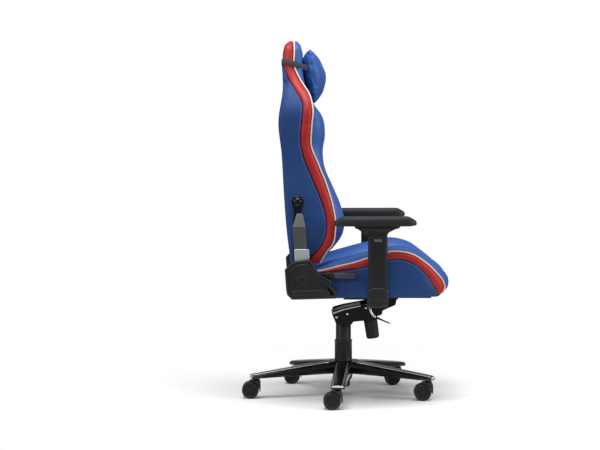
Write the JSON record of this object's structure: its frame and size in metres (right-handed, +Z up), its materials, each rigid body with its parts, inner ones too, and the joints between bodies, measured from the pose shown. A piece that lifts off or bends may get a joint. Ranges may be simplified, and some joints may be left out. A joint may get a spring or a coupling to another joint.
{
  "type": "gaming chair",
  "caption": "Racing-style gaming chair: winged reclining back with strapped head pillow, bucket seat, adjustable armrests, gas lift and star caster base.",
  "frame": {"origin": "on the floor, at the centre of the whole chair's bounding box seen from above; the gas lift's axis is 1.5 mm in front of it", "axes": "+Z up, +X towards the front of the seat, +Y towards the sitter's left"},
  "size_m": [0.7224, 0.72, 1.258],
  "materials": {
    "blue_leather": "blue PU leather, fine grain, satin",
    "black_plastic": "moulded, fine texture",
    "grey_plastic": "moulded, satin",
    "soft_black": "soft polyurethane skin",
    "black_textile": "woven underside cloth over a thin pan",
    "painted_steel": "black powder coat",
    "painted_aluminium": "black gloss coat, polished along the edges",
    "bright_steel": "bright zinc or chrome plate",
    "wheel_nylon": "moulded nylon",
    "elastic": "woven elastic webbing",
    "red_leather": "red PU leather, fine grain, satin; the side stripe sewn into the seat's and backrest's covers",
    "cream_piping": "cream PU leather rolled over a cord; the piping along the red stripe",
    "foam_leather": "polyurethane foam under blue PU leather"
  },
  "bodies": {
    "base": {"star_base": "painted_aluminium", "gas_cylinder_tube": "painted_steel", "column_cover_lower": "black_plastic"},
    "caster_1": {"caster_yoke_1": "black_plastic"},
    "wheels_1": {"caster_wheels_1": "wheel_nylon"},
    "caster_2": {"caster_yoke_2": "black_plastic"},
    "wheels_2": {"caster_wheels_2": "wheel_nylon"},
    "caster_3": {"caster_yoke_3": "black_plastic"},
    "wheels_3": {"caster_wheels_3": "wheel_nylon"},
    "caster_4": {"caster_yoke_4": "black_plastic"},
    "wheels_4": {"caster_wheels_4": "wheel_nylon"},
    "caster_5": {"caster_yoke_5": "black_plastic"},
    "wheels_5": {"caster_wheels_5": "wheel_nylon"},
    "column": {"gas_piston_rod": "bright_steel", "column_cover_upper": "black_plastic"},
    "mechanism": {"mechanism_housing": "painted_steel", "tilt_pivot_pin": "bright_steel", "tilt_spring": "bright_steel"},
    "lift_lever": {"lift_lever_rod": "bright_steel", "lift_lever_paddle": "black_plastic"},
    "knob": {"tension_knob": "soft_black"},
    "seat": {"seat_plate": "painted_steel", "seat_frame": "painted_steel", "seat_pan": "black_textile", "seat_cushion": "foam_leather", "seat_bolster_right": "foam_leather", "seat_bolster_left": "foam_leather", "recliner_plate_right": "painted_steel", "recliner_plate_left": "painted_steel", "recliner_cover_right": "black_plastic", "recliner_cover_left": "black_plastic", "recline_shaft": "bright_steel", "arm_bracket_right": "painted_steel", "arm_bracket_left": "painted_steel", "arm_post_right": "black_plastic", "arm_post_left": "black_plastic"},
    "recline_handle": {"recline_lever": "painted_steel", "recline_lever_grip": "grey_plastic"},
    "backrest": {"back_rear_panel": "blue_leather", "back_frame": "painted_steel", "back_cushion": "foam_leather", "head_section": "foam_leather", "back_wing_right": "foam_leather", "back_wing_left": "foam_leather", "back_bracket_right": "painted_steel", "back_bracket_left": "painted_steel", "bracket_trim_right": "grey_plastic", "bracket_trim_left": "grey_plastic", "bracket_bolt_right": "black_plastic", "bracket_bolt_left": "black_plastic"},
    "pillow": {"head_pillow": "foam_leather", "head_strap": "elastic"},
    "arm_right": {"arm_sleeve_right": "black_plastic"},
    "button_right": {"arm_button_right": "grey_plastic"},
    "carrier_right": {"arm_carrier_right": "black_plastic"},
    "pad_right": {"arm_pad_right": "soft_black"},
    "arm_left": {"arm_sleeve_left": "black_plastic"},
    "button_left": {"arm_button_left": "grey_plastic"},
    "carrier_left": {"arm_carrier_left": "black_plastic"},
    "pad_left": {"arm_pad_left": "soft_black"}
  },
  "joints": [
    {"name": "caster_swivel_1", "type": "hinge", "parent": "base", "child": "caster_1", "pos_m": [-0.02595, -0.31983, 0.071], "axis": [0, 0, 1], "continuous": true},
    {"name": "wheel_roll_1", "type": "hinge", "parent": "caster_1", "child": "wheels_1", "pos_m": [-0.04595, -0.31983, 0.03], "axis": [0, 1, 0], "continuous": true},
    {"name": "caster_swivel_2", "type": "hinge", "parent": "base", "child": "caster_2", "pos_m": [0.29717, -0.12491, 0.071], "axis": [0, 0, 1], "continuous": true},
    {"name": "wheel_roll_2", "type": "hinge", "parent": "caster_2", "child": "wheels_2", "pos_m": [0.27717, -0.12491, 0.03], "axis": [0, 1, 0], "continuous": true},
    {"name": "caster_swivel_3", "type": "hinge", "parent": "base", "child": "caster_3", "pos_m": [0.21164, 0.24263, 0.071], "axis": [0, 0, 1], "continuous": true},
    {"name": "wheel_roll_3", "type": "hinge", "parent": "caster_3", "child": "wheels_3", "pos_m": [0.19164, 0.24263, 0.03], "axis": [0, 1, 0], "continuous": true},
    {"name": "caster_swivel_4", "type": "hinge", "parent": "base", "child": "caster_4", "pos_m": [-0.16434, 0.27486, 0.071], "axis": [0, 0, 1], "continuous": true},
    {"name": "wheel_roll_4", "type": "hinge", "parent": "caster_4", "child": "wheels_4", "pos_m": [-0.18433, 0.27486, 0.03], "axis": [0, 1, 0], "continuous": true},
    {"name": "caster_swivel_5", "type": "hinge", "parent": "base", "child": "caster_5", "pos_m": [-0.31117, -0.07276, 0.071], "axis": [0, 0, 1], "continuous": true},
    {"name": "wheel_roll_5", "type": "hinge", "parent": "caster_5", "child": "wheels_5", "pos_m": [-0.33117, -0.07276, 0.03], "axis": [0, 1, 0], "continuous": true},
    {"name": "lift_slide", "type": "slide", "parent": "base", "child": "column", "axis": [0, 0, 1], "range_m": [0, 0.07]},
    {"name": "seat_swivel", "type": "hinge", "parent": "column", "child": "mechanism", "pos_m": [0.00147, 0, 0.262], "axis": [0, 0, 1], "continuous": true},
    {"name": "lever_lift", "type": "hinge", "parent": "mechanism", "child": "lift_lever", "pos_m": [0.08147, -0.15, 0.33], "axis": [0, -1, 0], "range_deg": [0, 10], "stiffness_Nm_per_rad": 0.8, "springref_deg": -8.59},
    {"name": "knob_turn", "type": "hinge", "parent": "mechanism", "child": "knob", "pos_m": [0.09847, 0, 0.274], "axis": [-0.1392, 0, 0.9903], "continuous": true},
    {"name": "seat_tilt", "type": "hinge", "parent": "mechanism", "child": "seat", "pos_m": [0.15147, 0, 0.334], "axis": [0, -1, 0], "range_deg": [0, 10], "stiffness_Nm_per_rad": 220, "springref_deg": -25.78},
    {"name": "recline_pull", "type": "hinge", "parent": "seat", "child": "recline_handle", "pos_m": [-0.09353, -0.27, 0.445], "axis": [0, -1, 0], "range_deg": [0, 18], "stiffness_Nm_per_rad": 0.6, "springref_deg": -14.32},
    {"name": "back_recline", "type": "hinge", "parent": "seat", "child": "backrest", "pos_m": [-0.14753, 0, 0.439], "axis": [0, -1, 0], "range_deg": [0, 46]},
    {"name": "pillow_slide", "type": "slide", "parent": "backrest", "child": "pillow", "axis": [0, 0, 1], "range_m": [0, 0.04]},
    {"name": "arm_height_right", "type": "slide", "parent": "seat", "child": "arm_right", "axis": [0, 0, 1], "range_m": [0, 0.07]},
    {"name": "arm_button_press_right", "type": "slide", "parent": "arm_right", "child": "button_right", "axis": [0, 1, 0], "range_m": [0, 0.0025], "stiffness_N_per_m": 400, "springref_m": -0.002},
    {"name": "arm_turn_right", "type": "hinge", "parent": "arm_right", "child": "carrier_right", "pos_m": [0.10947, -0.313, 0.595], "axis": [0, 0, 1], "range_deg": [0, 22]},
    {"name": "arm_reach_right", "type": "slide", "parent": "carrier_right", "child": "pad_right", "axis": [1, 0, 0], "range_m": [-0.025, 0.03]},
    {"name": "arm_height_left", "type": "slide", "parent": "seat", "child": "arm_left", "axis": [0, 0, 1], "range_m": [0, 0.07]},
    {"name": "arm_button_press_left", "type": "slide", "parent": "arm_left", "child": "button_left", "axis": [0, -1, 0], "range_m": [0, 0.0025], "stiffness_N_per_m": 400, "springref_m": -0.002},
    {"name": "arm_turn_left", "type": "hinge", "parent": "arm_left", "child": "carrier_left", "pos_m": [0.10947, 0.313, 0.595], "axis": [0, 0, -1], "range_deg": [0, 22]},
    {"name": "arm_reach_left", "type": "slide", "parent": "carrier_left", "child": "pad_left", "axis": [1, 0, 0], "range_m": [-0.025, 0.03]}
  ]
}
